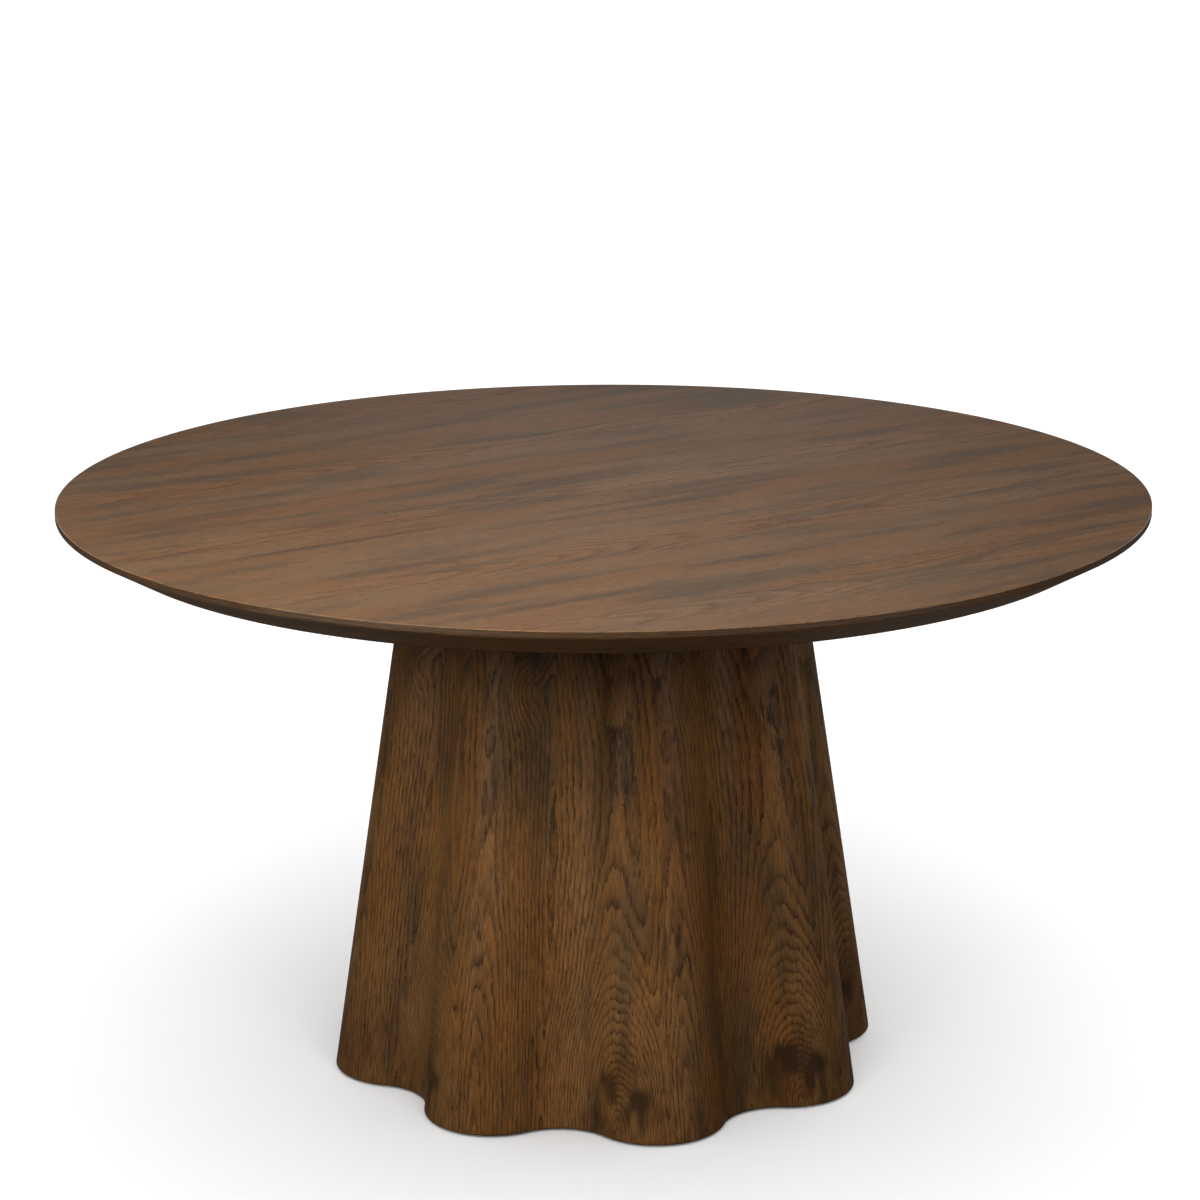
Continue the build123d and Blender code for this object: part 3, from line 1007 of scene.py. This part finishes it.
@dataclass(frozen=True)
class Carcass:
    """The model's own parts inside and under the table, which keep their shape."""

    wooden_formers: tuple[str, ...] = ("head_former", "middle_former", "foot_former")
    metal: tuple[str, ...] = (
        "top_inserts",
        "mounting_bolts",
        "mounting_washers",
        "disc_screws",
        "post_screws",
        "glide_nuts",
    )

    def dress(self, node: str, finish: bpy.types.Material) -> None:
        """Gives one of the model's nodes its finish."""
        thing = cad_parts[node]
        for holder in thing.material_slots:
            holder.material = finish
        LOG.info("%s: %s", node, finish.name)

    def dress_all(self) -> None:
        """Gives every piece that stays its finish."""
        zinc = ZincPlate("zinc_plate").build()
        plies = BIRCH_PLYWOOD.build()
        timber = SAWN_PINE.build()
        plastic = MouldedPlastic("glide_plastic").build()
        felt = PressedFelt("glide_felt").build()
        self.dress("top_core", FibreBoard("fibre_board").build())
        self.dress("top_backing_veneer", BACKING_VENEER.build())
        self.dress("mounting_disc", STAINED_PLYWOOD.build())
        self.dress("centre_post", timber)
        for node in self.wooden_formers:
            self.dress(node, plies)
        for node in self.metal:
            self.dress(node, zinc)
        for node in sorted(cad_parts):
            if node.startswith("seam_strip"):
                self.dress(node, timber)
            elif node.startswith("glide_stem"):
                self.dress(node, zinc)
            elif node.startswith("glide_pad"):
                self.dress(node, plastic)
            elif node.startswith("glide_felt"):
                self.dress(node, felt)


# ----------------------------------------------------------------------- studio
@dataclass(frozen=True)
class SoftBox:
    """A large square light that points at the table.

    bearing is in degrees round the table from the camera, clockwise seen from above is
    negative. height is above the floor, and reach is the distance along the floor.
    spread, in degrees, narrows the beam. The floor has lights of its own.
    """

    name: str
    bearing: float
    reach: float
    height: float
    side: float
    power: float
    spread: float
    aim: tuple[float, float, float]

    def hang(self, camera_bearing: float, unlit: bpy.types.Collection) -> None:
        """Makes the light and keeps it off what is in a collection."""
        turn = radians(camera_bearing + self.bearing)
        place = Vector((self.reach * sin(turn), -self.reach * cos(turn), self.height))
        lamp = bpy.data.lights.new(self.name, "AREA")
        lamp.size = self.side
        lamp.energy = self.power
        lamp.spread = radians(self.spread)
        holder = bpy.data.objects.new(self.name, lamp)
        bpy.context.collection.objects.link(holder)
        holder.location = place
        holder.rotation_euler = (Vector(self.aim) - place).to_track_quat("-Z", "Y").to_euler()
        holder.visible_camera = False
        holder.light_linking.receiver_collection = unlit


@dataclass(frozen=True)
class FloorWash:
    """Very soft parallel light that falls on the floor alone, so that it stays white.

    bearing is in degrees round the table from the camera, elevation above the floor,
    and spread is how wide the light's source looks, all in degrees.
    """

    name: str
    bearing: float
    elevation: float
    spread: float
    strength: float

    def hang(self, camera_bearing: float, lit: bpy.types.Collection) -> None:
        """Makes the light and limits it to what is in a collection."""
        turn = radians(camera_bearing + self.bearing)
        level = cos(radians(self.elevation))
        source = Vector((level * sin(turn), -level * cos(turn), sin(radians(self.elevation))))
        lamp = bpy.data.lights.new(self.name, "SUN")
        lamp.energy = self.strength
        lamp.angle = radians(self.spread)
        holder = bpy.data.objects.new(self.name, lamp)
        bpy.context.collection.objects.link(holder)
        holder.rotation_euler = (-source).to_track_quat("-Z", "Y").to_euler()
        holder.light_linking.receiver_collection = lit


@dataclass
class Studio:
    """A pale floor, a soft even room, soft boxes and the camera.

    The camera's bearing is in degrees round the table, 0 looking along +Y. Its pitch
    looks down, and its roll turns the picture clockwise. The sky's strengths are those
    under the horizon, in place of the floor's own light, at the horizon and overhead.
    """

    bearing: float = -13.53
    distance: float = 4.786
    eye_height: float = 1.8545
    pitch: float = 14.52
    roll: float = -0.257
    yaw: float = -0.057
    focal_length: float = 114.36
    sensor: float = 36.0
    floor_half: float = 60.0
    floor_color: Color = (0.95, 0.95, 0.95)
    sky_below: float = 0.10
    sky_low: float = 0.12
    sky_high: float = 0.31
    sight: float = 200.0
    boxes: tuple[SoftBox, ...] = (
        SoftBox("key", -44.0, 2.3, 1.60, 1.0, 4.1, 46.0, (0.0, 0.0, 0.62)),
        SoftBox("over", -20.0, 1.75, 2.05, 1.0, 38.0, 180.0, (-0.1, -0.1, 0.76)),
        SoftBox("fill", 46.0, 2.8, 1.60, 1.2, 2.9, 46.0, (0.0, 0.0, 0.62)),
        SoftBox("far", 179.0, 4.6, 2.5, 1.6, 4.2, 180.0, (0.0, 0.0, 0.76)),
        SoftBox("edge_right", 132.0, 3.2, 1.4, 1.0, 20.0, 180.0, (0.0, 0.0, 0.40)),
        SoftBox("edge_left", -140.0, 3.2, 1.4, 1.0, 12.0, 180.0, (0.0, 0.0, 0.40)),
        SoftBox("back", 178.0, 3.0, 0.42, 0.60, 24.0, 180.0, (0.0, 0.0, 0.42)),
    )
    washes: tuple[FloorWash, ...] = (
        FloorWash("wash_over", 0.0, 88.0, 100.0, 1.50),
        FloorWash("wash_front", 0.0, 24.0, 70.0, 3.00),
        FloorWash("wash_left", -100.0, 24.0, 70.0, 0.85),
        FloorWash("wash_right", 100.0, 24.0, 70.0, 0.85),
        FloorWash("wash_back", 180.0, 24.0, 70.0, 0.85),
    )

    def camera(self) -> None:
        """Makes the camera and aims it."""
        turn = radians(self.bearing)
        heading = turn - radians(self.yaw)
        forward = np.array([-sin(heading), cos(heading), 0.0])
        right = np.array([forward[1], -forward[0], 0.0])
        look = forward * cos(radians(self.pitch)) - np.array([0.0, 0.0, sin(radians(self.pitch))])
        up = np.cross(right, look)
        tilt = radians(self.roll)
        side = right * cos(tilt) + up * sin(tilt)
        head = up * cos(tilt) - right * sin(tilt)
        lens = bpy.data.cameras.new("camera")
        lens.lens = self.focal_length
        lens.sensor_width = self.sensor
        lens.clip_end = self.sight
        holder = bpy.data.objects.new("camera", lens)
        bpy.context.collection.objects.link(holder)
        stand = Vector((self.distance * sin(turn), -self.distance * cos(turn), self.eye_height))
        basis = Matrix((side, head, -look)).transposed().to_4x4()
        holder.matrix_world = Matrix.Translation(stand) @ basis
        bpy.context.scene.camera = holder

    def floor(self) -> bpy.types.Object:
        """Makes the pale floor, which takes shadows but throws no light back."""
        half = self.floor_half
        mesh = bpy.data.meshes.new("floor")
        corners = [(-half, -half, 0.0), (half, -half, 0.0), (half, half, 0.0), (-half, half, 0.0)]
        mesh.from_pydata(corners, [], [(0, 1, 2, 3)])
        mix = Recipe("pale_floor")
        mix.set("Base Color", (*self.floor_color, 1.0))
        mix.set("Roughness", 0.9)
        mesh.materials.append(mix.material)
        piece = bpy.data.objects.new("floor", mesh)
        bpy.context.collection.objects.link(piece)
        piece.visible_diffuse = False
        piece.visible_glossy = False
        return piece

    def sky(self) -> None:
        """Lights the room evenly from all round, brighter overhead than at the horizon."""
        world = bpy.data.worlds.new("room")
        world.use_nodes = True
        tree = world.node_tree
        tree.nodes.clear()
        place = tree.nodes.new("ShaderNodeTexCoord")
        split = tree.nodes.new("ShaderNodeSeparateXYZ")
        curve = tree.nodes.new("ShaderNodeFloatCurve")
        points = curve.mapping.curves[0].points
        points[0].location = (0.0, self.sky_below)
        points[1].location = (1.0, self.sky_high)
        points.new(0.45, self.sky_below)
        points.new(0.55, self.sky_low)
        curve.mapping.update()
        level = tree.nodes.new("ShaderNodeMapRange")
        level.inputs["From Min"].default_value = -1.0
        light = tree.nodes.new("ShaderNodeBackground")
        output = tree.nodes.new("ShaderNodeOutputWorld")
        tree.links.new(place.outputs["Generated"], split.inputs[0])
        tree.links.new(split.outputs["Z"], level.inputs["Value"])
        tree.links.new(level.outputs["Result"], curve.inputs["Value"])
        tree.links.new(curve.outputs["Value"], light.inputs["Strength"])
        tree.links.new(light.outputs[0], output.inputs[0])
        bpy.context.scene.world = world

    def set_up(self) -> None:
        """Builds the whole studio."""
        self.camera()
        lit = bpy.data.collections.new("washed")
        unlit = bpy.data.collections.new("unwashed")
        piece = self.floor()
        lit.objects.link(piece)
        unlit.objects.link(piece)
        unlit.collection_objects[0].light_linking.link_state = "EXCLUDE"
        self.sky()
        for box in self.boxes:
            box.hang(self.bearing, unlit)
        for wash in self.washes:
            wash.hang(self.bearing, lit)
        bpy.context.scene.view_settings.view_transform = "Standard"


def main() -> None:
    """Builds the table and its studio."""
    top = TableTop()
    top.face(FACE_OAK.build())
    top.rim(RIM_OAK_PAINTED_LIGHT.build())
    Pedestal().panels(SHELL_OAK.build())
    Carcass().dress_all()
    Studio().set_up()


if __name__ == "__main__":
    main()
